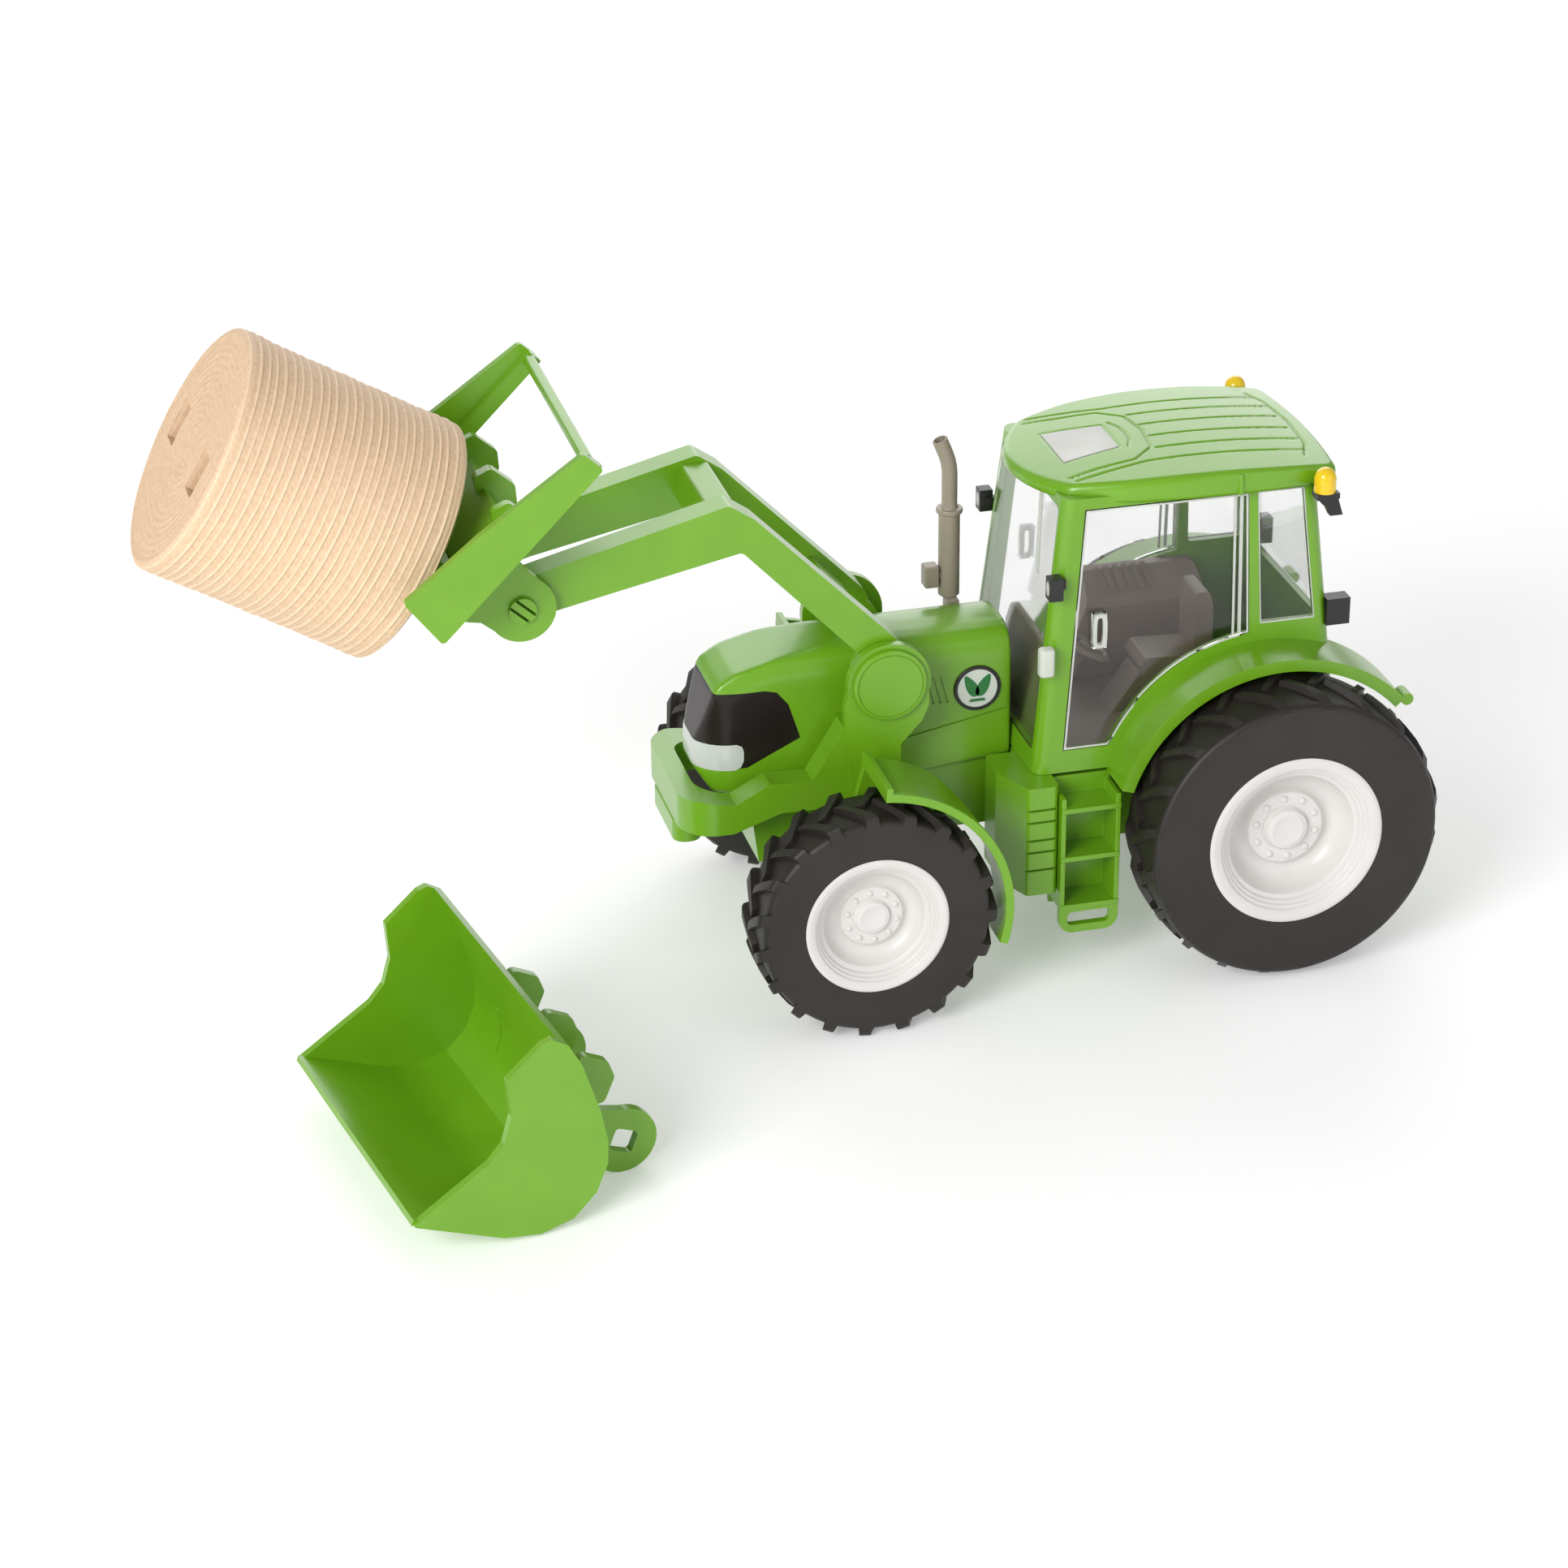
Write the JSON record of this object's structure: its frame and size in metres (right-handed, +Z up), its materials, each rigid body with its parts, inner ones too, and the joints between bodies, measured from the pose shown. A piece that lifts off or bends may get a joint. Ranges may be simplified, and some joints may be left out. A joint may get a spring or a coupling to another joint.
{
  "type": "toy front loader",
  "caption": "Toy farm tractor with a hinged front-loader boom and a bale fork carrying a slotted round bale, with a spare clip-on bucket beside it.",
  "frame": {"origin": "on the ground, at the middle of the footprint of the whole set", "axes": "+X forwards, from the cab towards the loader; +Y to the tractor's left; +Z up"},
  "size_m": [0.3858, 0.2198, 0.2138],
  "materials": {
    "green": "satin gloss moulded plastic",
    "tyre": "soft matt tyre plastic",
    "rim": "silver white satin",
    "interior": "satin",
    "clear": "clear moulded plastic",
    "lens": "clear moulded plastic over a dark backing",
    "grille": "gloss",
    "exhaust": "silver grey satin",
    "black": "satin",
    "beacon": "gloss",
    "bale": "fine fibre texture",
    "steel": "brushed",
    "badge": "printed disc"
  },
  "bodies": {
    "tractor": {"beacon_holders": "black", "beacon_left": "beacon", "beacon_right": "beacon", "belly_screws": "steel", "bumper": "green", "cab_frame": "green", "cab_roof": "green", "chassis": "green", "drawbar": "green", "exhaust_stack": "exhaust", "front_axle": "green", "front_mudguard_left": "green", "front_mudguard_right": "green", "fuel_tank_left": "green", "fuel_tank_right": "green", "grille": "grille", "headlight": "lens", "hood": "green", "hood_badges": "badge", "interior_tub": "interior", "loader_frame": "green", "marker_lamp": "lens", "pivot_pin_left": "green", "pivot_pin_right": "green", "quarter_window_left": "clear", "quarter_window_right": "clear", "rear_axle": "steel", "rear_mudguard_left": "green", "rear_mudguard_right": "green", "rear_window": "clear", "seat": "interior", "skylight": "clear", "steering_wheel": "interior", "step_left": "green", "step_right": "green", "tail_lamp_left": "black", "tail_lamp_right": "black", "windscreen": "clear", "work_lamp_left": "black", "work_lamp_right": "black"},
    "rear_wheel_left": {"rear_tyre_left": "tyre", "rear_rim_left": "rim"},
    "rear_wheel_right": {"rear_tyre_right": "tyre", "rear_rim_right": "rim"},
    "front_wheel_left": {"front_tyre_left": "tyre", "front_rim_left": "rim"},
    "front_wheel_right": {"front_tyre_right": "tyre", "front_rim_right": "rim"},
    "door_left": {"door_left": "clear"},
    "door_right": {"door_right": "clear"},
    "boom": {"boom": "green"},
    "fork": {"fork_frame": "green", "fork_tines": "green", "fork_top_bar": "green"},
    "bale": {"bale_shell": "bale", "bale_end_disc": "bale"},
    "bucket": {"bucket": "green"}
  },
  "joints": [
    {"name": "rear_left_spin", "type": "hinge", "parent": "tractor", "child": "rear_wheel_left", "pos_m": [-0.13839, 0.00672, 0.047], "axis": [0, 1, 0], "continuous": true},
    {"name": "rear_right_spin", "type": "hinge", "parent": "tractor", "child": "rear_wheel_right", "pos_m": [-0.13839, -0.09328, 0.047], "axis": [0, 1, 0], "continuous": true},
    {"name": "front_left_spin", "type": "hinge", "parent": "tractor", "child": "front_wheel_left", "pos_m": [-0.00878, 0.00672, 0.0367], "axis": [0, 1, 0], "continuous": true},
    {"name": "front_right_spin", "type": "hinge", "parent": "tractor", "child": "front_wheel_right", "pos_m": [-0.00878, -0.09328, 0.0367], "axis": [0, 1, 0], "continuous": true},
    {"name": "door_left_swing", "type": "hinge", "parent": "tractor", "child": "door_left", "pos_m": [-0.13303, -0.00765, 0.071], "axis": [0.0211, -0.0534, 0.9983], "range_deg": [0, 70]},
    {"name": "door_right_swing", "type": "hinge", "parent": "tractor", "child": "door_right", "pos_m": [-0.13303, -0.07891, 0.071], "axis": [-0.0211, -0.0534, -0.9983], "range_deg": [0, 70]},
    {"name": "loader_lift", "type": "hinge", "parent": "tractor", "child": "boom", "pos_m": [-0.02278, -0.04328, 0.0963], "axis": [0, -1, 0], "range_deg": [-28, 12]},
    {"name": "implement_tilt", "type": "hinge", "parent": "boom", "child": "fork", "pos_m": [0.08611, -0.04328, 0.1335], "axis": [0, -1, 0], "range_deg": [-20, 35]},
    {"name": "bale_slide", "type": "slide", "parent": "fork", "child": "bale", "axis": [0.8599, 0, 0.5105], "range_m": [0, 0.06]},
    {"name": "bucket_lift", "type": "slide", "parent": "tractor", "child": "bucket", "axis": [0, 0, 1], "range_m": [0, 0.08]}
  ]
}
